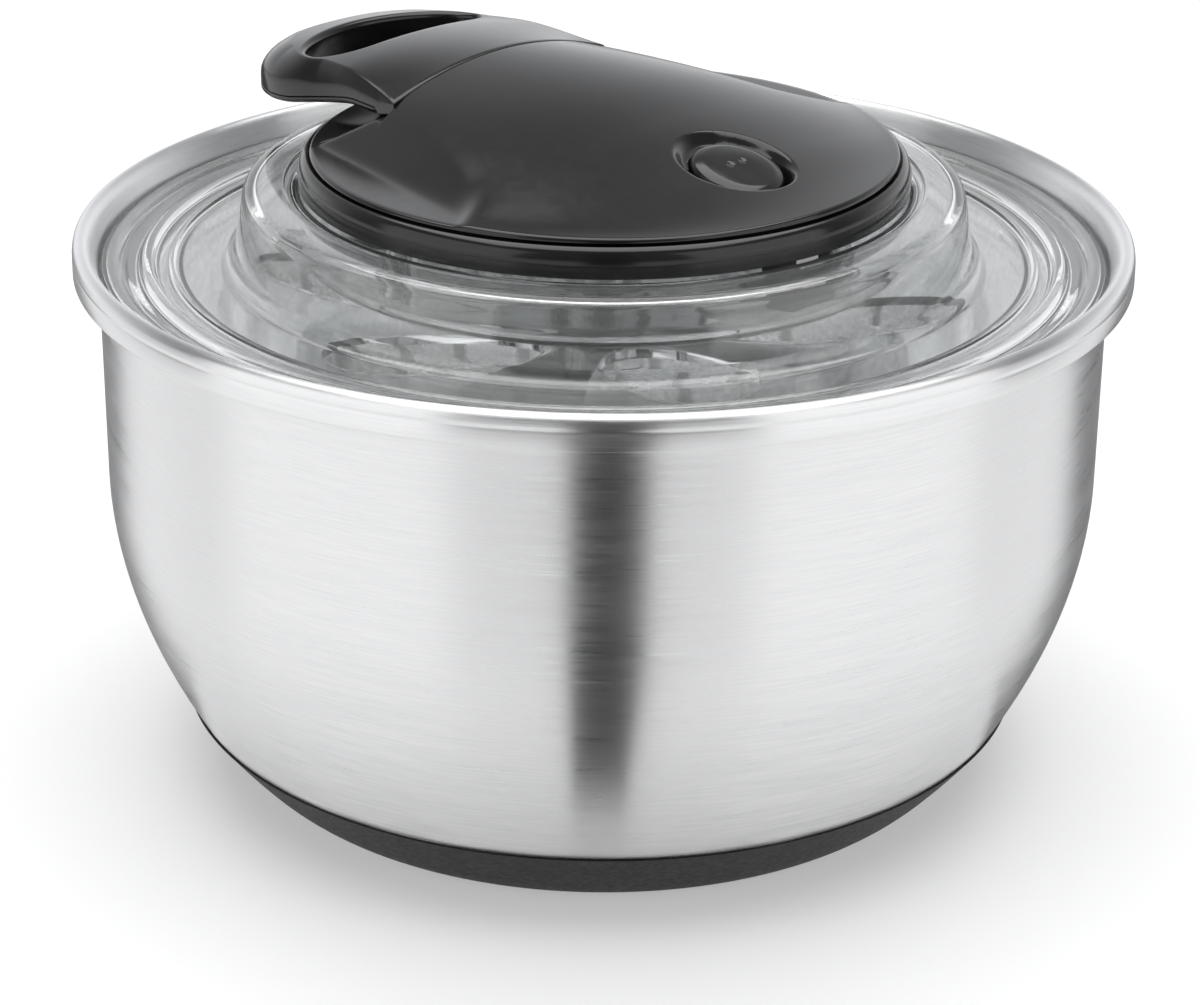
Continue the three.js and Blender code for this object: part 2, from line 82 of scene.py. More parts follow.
def add_camera():
    data = bpy.data.cameras.new("camera")
    data.lens = CAMERA_LENS
    data.sensor_width = 36
    data.shift_x, data.shift_y = CAMERA_SHIFT
    data.clip_start = 0.01
    camera = bpy.data.objects.new("camera", data)
    bpy.context.collection.objects.link(camera)
    back = TOWARDS_CAMERA * math.cos(CAMERA_ELEVATION) + Vector((0, 0, math.sin(CAMERA_ELEVATION)))
    camera.location = CAMERA_TARGET + back * CAMERA_DISTANCE
    turn = back.to_track_quat("Z", "Y").to_matrix().to_4x4()
    roll = Matrix.Rotation(CAMERA_ROLL, 4, "Z")
    camera.matrix_world = Matrix.Translation(camera.location) @ turn @ roll
    bpy.context.scene.camera = camera


# ---- mesh helpers -------------------------------------------------------------------------------
def rounded(points, closed=True, steps=5):
    """A profile with its corners rounded: each point is (r, z) or (r, z, rounding)."""
    out = []
    count = len(points)
    for i, point in enumerate(points):
        here = np.array(point[:2], float)
        ends = not closed and i in (0, count - 1)
        if len(point) < 3 or ends:
            out.append(here)
            continue
        before = np.array(points[i - 1][:2], float)
        after = np.array(points[(i + 1) % count][:2], float)
        a, b = before - here, after - here
        reach_a = min(point[2], 0.48 * np.linalg.norm(a))
        reach_b = min(point[2], 0.48 * np.linalg.norm(b))
        start = here + a / np.linalg.norm(a) * reach_a
        end = here + b / np.linalg.norm(b) * reach_b
        for k in range(steps + 1):
            s = k / steps
            out.append((1 - s) ** 2 * start + 2 * s * (1 - s) * here + s * s * end)
    return np.array(out)


def finish_mesh(name, vertices, faces, sharp=35.0):
    """An object from points in millimetres, merged, with outward normals and smooth shading."""
    mesh = bpy.data.meshes.new(name)
    mesh.from_pydata((np.asarray(vertices, float) * MM).tolist(), [], faces)
    work = bmesh.new()
    work.from_mesh(mesh)
    bmesh.ops.remove_doubles(work, verts=work.verts, dist=2e-7)
    bmesh.ops.dissolve_degenerate(work, edges=work.edges, dist=1e-8)
    bmesh.ops.recalc_face_normals(work, faces=work.faces)
    work.to_mesh(mesh)
    work.free()
    mesh.shade_smooth()
    mesh.set_sharp_from_angle(angle=math.radians(sharp))
    piece = bpy.data.objects.new(name, mesh)
    bpy.context.collection.objects.link(piece)
    return piece


def turned_data(profile, segments=192, closed=True):
    """Points and faces of a profile turned round the Z axis."""
    profile = np.asarray(profile, float)
    angles = np.linspace(0, 2 * math.pi, segments, endpoint=False)
    r, z = profile[:, 0], profile[:, 1]
    x = np.outer(np.cos(angles), r)
    y = np.outer(np.sin(angles), r)
    vertices = np.stack([x, y, np.broadcast_to(z, x.shape)], -1).reshape(-1, 3)
    return vertices, loft_faces(segments, len(profile), True, closed)


def loft_faces(rows, columns, close_rows, close_columns):
    faces = []
    for i in range(rows if close_rows else rows - 1):
        for j in range(columns if close_columns else columns - 1):
            a, b = i * columns + j, ((i + 1) % rows) * columns + j
            c, d = ((i + 1) % rows) * columns + (j + 1) % columns, i * columns + (j + 1) % columns
            faces.append((a, b, c, d))
    return faces


def turned(name, profile, segments=192, closed=True, sharp=35.0):
    return finish_mesh(name, *turned_data(profile, segments, closed), sharp=sharp)


def boxes(name, places):
    """One object of many boxes: each is (centre, half sizes, turn about Z in radians)."""
    vertices, faces = [], []
    corners = [(i, j, k) for i in (-1, 1) for j in (-1, 1) for k in (-1, 1)]
    for centre, half, turn in places:
        base = len(vertices)
        c, s = math.cos(turn), math.sin(turn)
        for i, j, k in corners:
            x, y, z = centre[0] + i * half[0], centre[1] + j * half[1], centre[2] + k * half[2]
            vertices.append((c * x - s * y, s * x + c * y, z))
        for f in ((0, 1, 3, 2), (4, 6, 7, 5), (0, 4, 5, 1), (2, 3, 7, 6), (0, 2, 6, 4), (1, 5, 7, 3)):
            faces.append(tuple(base + n for n in f))
    return finish_mesh(name, vertices, faces)


def prism_data(outline, z0, z1):
    """Points and faces of a plan outline, drawn from z0 to z1."""
    count = len(outline)
    vertices = [(x, y, z0) for x, y in outline] + [(x, y, z1) for x, y in outline]
    faces = [tuple(range(count))[::-1], tuple(range(count, 2 * count))]
    faces += [(i, (i + 1) % count, count + (i + 1) % count, count + i) for i in range(count)]
    return vertices, faces


def boolean(piece, tool, operation="DIFFERENCE"):
    """Cuts piece with tool, which is then removed."""
    modifier = piece.modifiers.new("cut", "BOOLEAN")
    modifier.operation = operation
    modifier.object = tool
    modifier.solver = "EXACT"
    apply_modifiers(piece)
    bpy.data.objects.remove(tool)
    piece.data.shade_smooth()
    piece.data.set_sharp_from_angle(angle=math.radians(35))


def apply_modifiers(piece):
    depsgraph = bpy.context.evaluated_depsgraph_get()
    mesh = bpy.data.meshes.new_from_object(piece.evaluated_get(depsgraph))
    piece.modifiers.clear()
    piece.data = mesh


def dress(piece, body, material, slot, *nodes):
    """Puts a finished piece on its body, in its material, in place of its CAD nodes."""
    piece.data.materials.clear()
    piece.data.materials.append(material)
    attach(piece, body)
    if nodes:
        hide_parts(*nodes)
    return piece


# ---- materials ----------------------------------------------------------------------------------
class Nodes:
    """A material's node tree, with short calls for what the materials below share."""

    def __init__(self, name, **sockets):
        self.material = bpy.data.materials.new(name)
        self.material.use_nodes = True
        self.tree = self.material.node_tree
        self.shader = self.tree.nodes["Principled BSDF"]
        for socket, value in sockets.items():
            self.shader.inputs[socket.replace("_", " ")].default_value = value
        coordinates = self.tree.nodes.new("ShaderNodeTexCoord")
        self.place = coordinates.outputs["Object"]

    def link(self, source, target):
        self.tree.links.new(source, target)

    def math(self, operation, first, second=None):
        node = self.tree.nodes.new("ShaderNodeMath")
        node.operation = operation
        for socket, value in zip(node.inputs, (first, second)):
            if isinstance(value, bpy.types.NodeSocket):
                self.link(value, socket)
            elif value is not None:
                socket.default_value = value
        return node.outputs[0]

    def noise(self, scale, detail=3.0, vector=None, roughness=0.5):
        node = self.tree.nodes.new("ShaderNodeTexNoise")
        node.inputs["Scale"].default_value = scale
        node.inputs["Detail"].default_value = detail
        node.inputs["Roughness"].default_value = roughness
        self.link(vector or self.place, node.inputs["Vector"])
        return node.outputs["Fac"]

    def span(self, source, low, high, start=0.3, end=0.7):
        """source, from start to end, spread over low to high."""
        node = self.tree.nodes.new("ShaderNodeMapRange")
        for socket, value in zip(("From Min", "From Max", "To Min", "To Max"), (start, end, low, high)):
            node.inputs[socket].default_value = value
        self.link(source, node.inputs["Value"])
        return node.outputs["Result"]

    def tint(self, source, dark, light):
        node = self.tree.nodes.new("ShaderNodeMix")
        node.data_type = "RGBA"
        self.link(source, node.inputs["Factor"])
        node.inputs["A"].default_value = (*dark, 1)
        node.inputs["B"].default_value = (*light, 1)
        self.link(node.outputs["Result"], self.shader.inputs["Base Color"])

    def bump(self, source, strength, depth_mm, below=None):
        node = self.tree.nodes.new("ShaderNodeBump")
        node.inputs["Strength"].default_value = strength
        node.inputs["Distance"].default_value = depth_mm * MM
        self.link(source, node.inputs["Height"])
        if below is not None:
            self.link(below, node.inputs["Normal"])
        self.link(node.outputs["Normal"], self.shader.inputs["Normal"])
        return node.outputs["Normal"]

    def around(self, turns, rings):
        """Coordinates that run in rings about the Z axis, with no seam."""
        split = self.tree.nodes.new("ShaderNodeSeparateXYZ")
        self.link(self.place, split.inputs[0])
        x, y, z = split.outputs
        radius = self.math("SQRT", self.math("ADD", self.math("MULTIPLY", x, x), self.math("MULTIPLY", y, y)))
        radius = self.math("MAXIMUM", radius, 1e-4)
        join = self.tree.nodes.new("ShaderNodeCombineXYZ")
        self.link(self.math("MULTIPLY", self.math("DIVIDE", x, radius), turns), join.inputs[0])
        self.link(self.math("MULTIPLY", self.math("DIVIDE", y, radius), turns), join.inputs[1])
        self.link(self.math("MULTIPLY", self.math("SUBTRACT", z, radius), rings), join.inputs[2])
        return join.outputs[0]


def brushed_steel():
    m = Nodes("brushed_steel", Metallic=1.0, Roughness=0.3, Anisotropic=0.92, Anisotropic_Rotation=0.25)
    tangent = m.tree.nodes.new("ShaderNodeTangent")
    tangent.direction_type = "RADIAL"
    tangent.axis = "Z"
    m.link(tangent.outputs[0], m.shader.inputs["Tangent"])
    fine = m.noise(1.0, 4.0, m.around(7.0, 2600.0), 0.65)
    broad = m.noise(1.0, 2.0, m.around(2.0, 260.0))
    both = m.math("ADD", m.math("MULTIPLY", fine, 0.75), m.math("MULTIPLY", broad, 0.25))
    m.tint(m.span(both, 0, 1), (0.66, 0.665, 0.67), (0.8, 0.8, 0.805))
    m.link(m.span(both, 0.25, 0.4), m.shader.inputs["Roughness"])
    m.bump(fine, 0.35, 0.012)
    return m.material


def bright_steel():
    m = Nodes("bright_steel", Metallic=1.0, Roughness=0.2)
    grain = m.noise(900.0, 4.0)
    m.tint(m.span(grain, 0, 1), (0.55, 0.55, 0.56), (0.68, 0.68, 0.69))
    m.link(m.span(grain, 0.16, 0.3), m.shader.inputs["Roughness"])
    m.bump(grain, 0.1, 0.02)
    return m.material


def black_plastic():
    m = Nodes("black_plastic", Roughness=0.24, IOR=1.46)
    cloud = m.noise(55.0, 3.0)
    grain = m.noise(5200.0, 2.0)
    m.tint(m.span(cloud, 0, 1), (0.0075, 0.0075, 0.008), (0.011, 0.011, 0.0115))
    m.link(m.span(m.noise(320.0, 4.0), 0.145, 0.175), m.shader.inputs["Roughness"])
    m.bump(grain, 0.07, 0.02)
    return m.material


def silicone():
    m = Nodes("silicone", Roughness=0.6, IOR=1.43)
    m.tint(m.span(m.noise(90.0), 0, 1), (0.008, 0.008, 0.0085), (0.014, 0.014, 0.0145))
    m.link(m.span(m.noise(700.0, 4.0), 0.5, 0.68), m.shader.inputs["Roughness"])
    m.bump(m.noise(3800.0, 2.0), 0.15, 0.03)
    return m.material


def lamp_through(m, share):
    """Lets the lamps' light pass to what is behind: shadow rays meet a tinted clear film."""
    film = m.tree.nodes.new("ShaderNodeBsdfTransparent")
    film.inputs["Color"].default_value = (share, share, share, 1)
    paths = m.tree.nodes.new("ShaderNodeLightPath")
    mix = m.tree.nodes.new("ShaderNodeMixShader")
    m.link(paths.outputs["Is Shadow Ray"], mix.inputs["Fac"])
    m.link(m.shader.outputs[0], mix.inputs[1])
    m.link(film.outputs[0], mix.inputs[2])
    m.link(mix.outputs[0], m.tree.nodes["Material Output"].inputs["Surface"])


def clear_plastic():
    m = Nodes("clear_plastic", Roughness=0.03, IOR=1.5)
    m.shader.inputs["Transmission Weight"].default_value = 0.985
    m.tint(m.span(m.noise(30.0), 0, 1), (0.9, 0.91, 0.91), (0.96, 0.965, 0.965))
    m.link(m.span(m.noise(260.0, 4.0), 0.015, 0.06), m.shader.inputs["Roughness"])
    m.bump(m.noise(45.0, 2.0), 0.06, 0.25)
    lamp_through(m, 0.93)
    return m.material


def frosted_plastic():
    m = Nodes("frosted_plastic", Roughness=0.28, IOR=1.5)
    m.shader.inputs["Transmission Weight"].default_value = 0.45
    m.tint(m.span(m.noise(40.0), 0, 1), (0.82, 0.84, 0.84), (0.9, 0.91, 0.91))
    m.link(m.span(m.noise(500.0, 4.0), 0.2, 0.34), m.shader.inputs["Roughness"])
    m.bump(m.noise(1800.0, 3.0), 0.03, 0.03)
    lamp_through(m, 0.8)
    return m.material


def white_plastic():
    m = Nodes("white_plastic", Roughness=0.42, IOR=1.5)
    m.tint(m.span(m.noise(80.0), 0, 1), (0.7, 0.7, 0.68), (0.78, 0.78, 0.765))
    m.link(m.span(m.noise(600.0, 4.0), 0.34, 0.5), m.shader.inputs["Roughness"])
    m.bump(m.noise(2500.0, 2.0), 0.08, 0.03)
    return m.material


def cord_braid():
    m = Nodes("cord_braid", Roughness=0.85)
    wave = m.tree.nodes.new("ShaderNodeTexWave")
    wave.wave_type = "BANDS"
    wave.bands_direction = "DIAGONAL"
    wave.inputs["Scale"].default_value = 900.0
    wave.inputs["Distortion"].default_value = 2.0
    m.link(m.place, wave.inputs["Vector"])
    m.tint(m.span(wave.outputs["Fac"], 0, 1, 0, 1), (0.5, 0.49, 0.46), (0.78, 0.77, 0.73))
    m.bump(wave.outputs["Fac"], 0.6, 0.12)
    return m.material


STEEL, BRIGHT, BLACK, SILICONE = brushed_steel(), bright_steel(), black_plastic(), silicone()
CLEAR, FROSTED, WHITE, CORD = clear_plastic(), frosted_plastic(), white_plastic(), cord_braid()

# ---- bowl and foot --------------------------------------------------------------------------------
WALL_R = 123.8
BEND_Z = 78.0
SHEET = 0.9
DRAW_IN, DRAW_DEPTH, DRAW_CURVE = 18.0, 59.6, 1.93  # how the wall curves in below the bend
FOOT_TOP = top_of("foot_ring")
FLOOR_Z = bottom_of("steel_bowl")
RIM_R = reach_of("steel_bowl")
RIM_Z = top_of("steel_bowl")


def bowl_radius(z):
    depth = np.maximum(0.0, BEND_Z - np.asarray(z, float))
    return WALL_R - DRAW_IN * (depth / DRAW_DEPTH) ** DRAW_CURVE


def add_bowl():
    heights = np.concatenate([np.linspace(FOOT_TOP, BEND_Z, 24), np.linspace(84, 126.5, 8)])
    outside = [(r, z) for r, z in zip(bowl_radius(heights), heights)]
    inside = [(r - SHEET, z + 0.2 * SHEET) for r, z in outside][::-1]
    underside = [
        (0, 8.2), (2.4, 7.9, 2), (6.2, 4.2, 2), (9.5, FLOOR_Z, 2), (60, FLOOR_Z), (83, FLOOR_Z, 7),
        (89.6, 4.6, 4), (97.6, 10, 6),
    ]
    rim = [
        (123.9, 128.6, 3), (125.4, 133.4, 4), (126.6, 136.6, 2), (128.0, 137.5, 1), (129.0, 136, 0.8),
        (129.1, 130.7, 0.5), (RIM_R, 130.35, 0.45), (RIM_R, 134.2), (129.75, 134.9, 0.4), (RIM_R, 135.6, 0.5),
        (129.6, 137.8, 1.6), (127.4, RIM_Z, 1.4), (125.5, 137.0, 1.6), (124.2, 133.0, 3), (123.2, 129.0, 3),
    ]
    topside = [
        (96.9, 10.7, 6), (89.3, 5.5, 4), (82.8, FLOOR_Z + SHEET, 7), (60, FLOOR_Z + SHEET),
        (10, FLOOR_Z + SHEET, 2), (6.8, 5.1, 2), (3, 8.8, 2), (0, 9.1),
    ]
    profile = rounded(underside + outside + rim + inside + topside, closed=False)
    bowl = turned("steel_bowl_skin", profile, 256, closed=False, sharp=60)
    dress(bowl, "bowl", STEEL, "brushed_steel", "steel_bowl")

    foot = [
        (84, 0.1, 0.6), (89.6, 0, 2.5), (94.2, 3.6, 4), (99.9, 10, 4), (106.6, FOOT_TOP, 0.15),
        (bowl_radius(FOOT_TOP) + 0.08, FOOT_TOP), (97.75, 9.95, 5), (89.6, 4.35, 4), (84, 2.9, 1),
    ]
    dress(turned("foot_ring_skin", rounded(foot), 192), "bowl", SILICONE, "silicone", "foot_ring")


# ---- basket ---------------------------------------------------------------------------------------
BASKET_TOP = top_of("basket")
DOGS = 6


def add_basket():
    wall = 1.7
    outside = [(88, 12, 5), (95.5, 16, 6), (103.5, 34, 14), (109, 60, 16), (111.8, 90, 10), (113, 117.5, 1)]
    inside = [(r - wall, z + 0.6, *more) for r, z, *more in outside[1:]][::-1]
    rim = [(115.4, 118.3, 0.8), (115.4, BASKET_TOP, 0.9), (111.2, BASKET_TOP, 0.8)]
    profile = rounded([(7.3, 12)] + outside + rim + inside + [(87, 14, 5), (7.3, 14)])
    basket = turned("basket_body", profile, 144)
    cuts = []
    for row, (low, high) in enumerate(((30, 51), (56, 79), (84, 106))):
        for i in range(36):
            turn = math.radians(10 * i + 5 * (row % 2))
            cuts.append(((107, 0, (low + high) / 2), (12, 1.9, (high - low) / 2), turn))
    for ring, (near, far) in enumerate(((18, 36), (42, 58), (64, 80))):
        for i in range(12 * (ring + 1)):
            turn = 2 * math.pi * i / (12 * (ring + 1))
            cuts.append((((near + far) / 2, 0, 13), ((far - near) / 2, 1.7, 4), turn))
    for i in range(DOGS):
        cuts.append(((112.5, 0, BASKET_TOP), (7.5, 5, 2.4), 2 * math.pi * i / DOGS))
    boolean(basket, boxes("basket_slots", cuts))
    dress(basket, "basket", FROSTED, "frosted_plastic", "basket")
    bush = rounded([(0, 10), (3, 9.55, 1), (7, 9.5, 0.6), (7, 15.4, 0.8), (0, 15.4)], closed=False)
    bush_body = turned("basket_bush_body", bush, 64, closed=False)
    dress(bush_body, "basket", WHITE, "white_plastic", "basket_pivot_bush")


# ---- lid ------------------------------------------------------------------------------------------
LID_R = reach_of("lid_shell")
PLATEAU_Z = top_of("lid_shell")
LID_STEP_Z = 149.1  # the step inside the raised ring, under the base ring
SCREW_NODES = ("cover_screw_1", "cover_screw_2", "cover_screw_3")


def add_lid():
    low, under = 130.6, 128.6
    underside = [
        (7.1, 132, 0.3), (71.6, 132, 2.2), (74.4, 135.2, 3), (76.2, 147.4, 1.2), (85.8, 147.4, 1.4),
        (88.8, 131, 2), (91.6, under, 1.6), (103.6, under, 0.8), (104.8, 129.5, 0.8), (116.5, 129.5, 1),
        (119, 130.2, 1.5), (121.8, 130.5, 1), (LID_R, 131.3, 0.5),
    ]
    topside = [
        (LID_R, 132.5, 0.6), (119.4, 132.2, 1.2), (117.8, 131.0, 0.9), (114.4, 130.9, 0.8),
        (113.2, 132.0, 0.9), (110.8, 132.0, 0.9), (109.6, 130.9, 0.8), (106.8, 130.9, 0.7), (106, 131.5, 0.6),
        (104.6, low, 0.8), (93.4, low, 1.6), (91.0, 132.4, 2), (88.5, 147.6, 2), (87.0, PLATEAU_Z, 1.6),
        (78.6, PLATEAU_Z, 0.4), (78.0, LID_STEP_Z, 0.4), (75.6, LID_STEP_Z, 0.6), (74.2, 148.2, 1.2),
        (72.4, 136, 2.4), (70.4, 134, 2), (7.1, 134, 0.3),
    ]
    data = [turned_data(rounded(underside + topside), 224)]
    boss = rounded([(1.8, 134.05), (4.4, 134.05, 0.2), (3.7, 149.3, 0.4), (1.8, 149.3, 0.2)])
    for node in SCREW_NODES:
        low_corner, high_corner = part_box(node)
        x, y = (low_corner[0] + high_corner[0]) / 2 / MM, (low_corner[1] + high_corner[1]) / 2 / MM
        vertices, faces = turned_data(boss, 32)
        data.append((vertices + np.array([x, y, 0]), faces))
    lid = finish_mesh("lid_clear", *merged(data), sharp=50)
    dress(lid, "lid", CLEAR, "clear_plastic", "lid_shell")


def merged(parts):
    vertices, faces = [], []
    for points, quads in parts:
        base = len(vertices)
        vertices += [tuple(p) for p in points]
        faces += [tuple(base + n for n in face) for face in quads]
    return vertices, faces


def add_drive_plate():
    top = top_of("drive_plate")
    profile = rounded([
        (3.3, 99, 0.3), (8.6, 99, 1.2), (10, 101, 1.2), (10.4, 110.2, 1.5), (100, 122.2, 3), (108, 122.4, 1),
        (112, 122.4, 0.6), (112, 124.6, 0.6), (99.6, 124.6, 3), (10.6, 112.8, 2), (9, top, 0.6),
        (3.3, top, 0.3),
    ])
    plate = turned("drive_plate_body", profile, 180)
    petals, steps = [], 56
    for i in range(DOGS):
        turn = 2 * math.pi * (i + 0.5) / DOGS
        outline = []
        for k in range(steps):
            a = 2 * math.pi * k / steps
            along, across = 57 + 33 * math.cos(a), 17 * math.sin(a) * (1 + 0.16 * math.cos(a))
            outline.append((along * math.cos(turn) - across * math.sin(turn),
                            along * math.sin(turn) + across * math.cos(turn)))
        petals.append(prism_data(outline, 95, 135))
    boolean(plate, finish_mesh("petals", *merged(petals)))
    dogs = [((109.6, 0, 121.2), (2.1, 4, 1.5), 2 * math.pi * i / DOGS) for i in range(DOGS)]
    boolean(plate, boxes("dogs", dogs), "UNION")
    dress(plate, "drive", CLEAR, "clear_plastic", "drive_plate")


# ---- the dome's surface ---------------------------------------------------------------------------
LEDGE_Z = 157.9
CREASE_W = 40.0  # half the width between the two creases, by the handle's seam
SEAM_X = -35.0
COVER_R = reach_of("dome_cover")
COVER_INSIDE_R = 67.0
RING_R = reach_of("base_ring")
RING_Z = top_of("base_ring")
DOCK_TOP = (-38.0, 165.0)
DOCK_FOOT = (-50.0, 157.7)
BUTTON_X, BUTTON_Z, BUTTON_TILT = 43.6, 163.0, math.radians(17)
RIDGE_T = np.array([-76, -60, -43.6, -20, 0, 35, 62, 86, 106], float)
RIDGE_Z = np.array([157.6, 159.7, 163, 168.2, 172, 175, 174.6, 172, 169.5], float)
RIDGE_SLOPE = np.gradient(RIDGE_Z, RIDGE_T)


def ridge(t):
    """Height along the ridge: a smooth curve through the points above."""
    t = np.clip(t, RIDGE_T[0], RIDGE_T[-1])
    i = np.clip(np.searchsorted(RIDGE_T, t) - 1, 0, len(RIDGE_T) - 2)
    span = RIDGE_T[i + 1] - RIDGE_T[i]
    s = (t - RIDGE_T[i]) / span
    return (
        (2 * s**3 - 3 * s**2 + 1) * RIDGE_Z[i] + (s**3 - 2 * s**2 + s) * span * RIDGE_SLOPE[i]
        + (3 * s**2 - 2 * s**3) * RIDGE_Z[i + 1] + (s**3 - s**2) * span * RIDGE_SLOPE[i + 1]
    )


def soft_min(a, b, k):
    return np.minimum(a, b) - k * np.log1p(np.exp(-np.abs(a - b) / k))


def soft_max(a, b, k):
    return -soft_min(-a, -b, k)


def smooth_step(value, low, high):
    s = np.clip((value - low) / (high - low), 0, 1)
    return s * s * (3 - 2 * s)


def cover_height(x, y):
    t, w = -x, np.abs(y)
    crease = CREASE_W + 0.327 * (38 - t)
    fall = 7.4 + 0.4 * np.clip((t + 17) / 55, 0, 1)
    crown = ridge(t) - fall * (w / crease) ** 2
    fade = 0.0018 * np.maximum(0, -5 - t) ** 3
    facet = 166 - 0.164 * (t - 38) - 0.754 * (w - CREASE_W) + fade
    return soft_max(soft_min(crown, facet, 1.3), LEDGE_Z, 0.6)


def dock_height(x):
    """The scooped face that the handle parks against, a step down from the seam."""
    slope = (DOCK_TOP[1] - DOCK_FOOT[1]) / (DOCK_TOP[0] - DOCK_FOOT[0])
    face = soft_min(DOCK_TOP[1] + slope * (x - DOCK_TOP[0]), DOCK_TOP[1], 0.25)
    floor = soft_max(face, DOCK_FOOT[1], 0.5)
    return floor + 60 * np.maximum(0, x - (SEAM_X - 0.22))


def button_place(x, y, z):
    """Distance from the button's middle, along the slope and across it."""
    along = (x - BUTTON_X) * math.cos(BUTTON_TILT) - (z - BUTTON_Z) * math.sin(BUTTON_TILT)
    return along, y


def cover_top(x, y):
    z = cover_height(x, y)
    along, across = button_place(x, y, z)
    spread = np.sqrt(((along + 1.5) / 15.5) ** 2 + (across / 14.9) ** 2)
    z = z - 2.4 * (1 - smooth_step(spread, 0.8, 1.0))
    hole = np.sqrt(along**2 + across**2)
    z = z - 4.2 * (1 - smooth_step(hole, 11.75, 12.25))
    return soft_min(z, dock_height(x), 0.22)


def cover_under(x, y):
    z = cover_height(x, y) - 2.2
    along, across = button_place(x, y, z)
    z = z - 4.4 * (1 - smooth_step(np.sqrt(along**2 + across**2), 17, 19))
    return np.minimum(z, dock_height(x + 2.2) - 2.2)


def feature_lines(low, high, coarse, *dense):
    """Line positions from low to high: coarse ones, and a finer run round each (start, end, step)."""
    lines = list(coarse)
    for start, end, step in dense:
        lines += list(np.arange(start, end, step))
    lines = np.unique(np.round(np.clip(lines, low, high), 3))
    kept = [lines[0]]
    for value in lines[1:-1]:
        if value - kept[-1] > 0.07:
            kept.append(value)
    return np.array(kept + [lines[-1]])


def add_cover():
    edge = COVER_R - 0.8
    coarse = -edge * np.cos(np.linspace(0, math.pi, 110))
    xs = feature_lines(-edge, edge, coarse, (-51, -37, 0.5), (-35.7, -34.3, 0.1), (12, 60, 0.45))
    u = np.linspace(-1, 1, 191)
    v = np.sinh(1.7 * u) / math.sinh(1.7)
    half = np.sqrt(np.maximum(edge**2 - xs**2, 0))
    x = np.repeat(xs[:, None], len(v), 1)
    y = half[:, None] * v[None, :]
    rows, columns = x.shape
    top = np.stack([x, y, cover_top(x, y)], -1)
    shrink = COVER_INSIDE_R / edge
    under = np.stack([x * shrink, y * shrink, cover_under(x * shrink, y * shrink)], -1)
    vertices = [tuple(p) for p in top.reshape(-1, 3)] + [tuple(p) for p in under.reshape(-1, 3)]

    along, across = button_place(x, y, cover_height(x, y))
    open_cell = np.sqrt(along**2 + across**2) < 11.0
    surface_z = cover_top(x, y)
    open_cell |= (np.abs(y) < 2.1) & (x < -39.6) & (x > -46.6) & (np.abs(surface_z - 161.5) < 2.3)
    hole = open_cell[:-1, :-1] & open_cell[1:, :-1] & open_cell[1:, 1:] & open_cell[:-1, 1:]
    faces = []
    lower = rows * columns

    def index(i, j):
        return i * columns + j

    for i in range(rows - 1):
        for j in range(columns - 1):
            if hole[i, j]:
                continue
            cell = (index(i, j), index(i + 1, j), index(i + 1, j + 1), index(i, j + 1))
            faces += [cell, tuple(lower + n for n in cell[::-1])]
            sides = (((i, j - 1), (0, 1)), ((i + 1, j), (1, 2)), ((i, j + 1), (2, 3)), ((i - 1, j), (3, 0)))
            for (ni, nj), (a, b) in sides:
                if 0 <= ni < rows - 1 and 0 <= nj < columns - 1 and hole[ni, nj]:
                    faces.append((cell[b], cell[a], lower + cell[a], lower + cell[b]))

    loop = [index(i, columns - 1) for i in range(rows)] + [index(i, 0) for i in range(rows - 2, 0, -1)]
    rim = np.array([vertices[n] for n in loop])
    rings = [loop]
    skirt = [
        (COVER_R - 0.45, -0.1, None), (COVER_R - 0.15, -0.3, None), (COVER_R, -0.58, None),
        (COVER_R, None, 157.15), (COVER_R - 0.3, None, 157.0),
        (69.3, None, 157.0), (69.2, None, 156.8), (69.2, None, 152.2), (69.0, None, 152.0),
        (67.2, None, 152.0), (COVER_INSIDE_R, None, 152.2),
    ]
    for radius, drop, height in skirt:
        start = len(vertices)
        for px, py, pz in rim:
            scale = radius / edge
            vertices.append((px * scale, py * scale, pz + drop if height is None else height))
        rings.append(list(range(start, start + len(loop))))
    rings.append([lower + n for n in loop])
    for a, b in zip(rings, rings[1:]):
        for k in range(len(loop)):
            n = (k + 1) % len(loop)
            faces.append((a[k], a[n], b[n], b[k]))
    cover = finish_mesh("dome_cover_skin", vertices, faces, sharp=62)
    dress(cover, "lid", BLACK, "black_plastic", "dome_cover")

    ring = [
        (58, 149.95, 0.3), (71, 149.95, 0.4), (72.2, 149.35, 0.4), (74.8, 149.35, 0.6),
        (RING_R - 0.1, 150.3, 0.8), (RING_R, 153.9, 1.8), (74.1, 156.0, 1.4), (72.7, RING_Z, 0.5),
        (72.3, RING_Z - 0.5, 0.3), (69.6, RING_Z - 0.5, 0.3), (69.6, 151.7, 0.5), (58, 151.7, 0.3),
    ]
    dress(turned("base_ring_skin", rounded(ring), 224), "lid", BLACK, "black_plastic", "base_ring")

    low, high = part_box("cord_eyelet")
    middle = (low[2] + high[2]) / 2 / MM
    eyelet = turned("cord_eyelet_body", rounded([
        (1.35, 0.9, 0.3), (1.5, -1.7, 0.2), (2.0, -1.7, 0.2), (2.0, 0.7, 0.3), (3.0, 1.0, 0.2),
        (2.9, 1.35, 0.2), (1.9, 1.25, 0.4),
    ]), 48)
    eyelet.data.transform(Matrix.Rotation(-math.pi / 2, 4, "Y"))
    eyelet.data.transform(Matrix.Translation((high[0] - 0.0012, 0, middle * MM)))
    dress(eyelet, "lid", BRIGHT, "bright_steel", "cord_eyelet")


# ---- handle ---------------------------------------------------------------------------------------
HANDLE_HALF = 37.3
WAIST_HALF = 33.0
HOLE_X = -73.0  # a point inside the finger hole, from which both outlines are divided
HANDLE_END_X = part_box("handle_grip")[0][0] / MM
NEAR_X = SEAM_X - 0.3


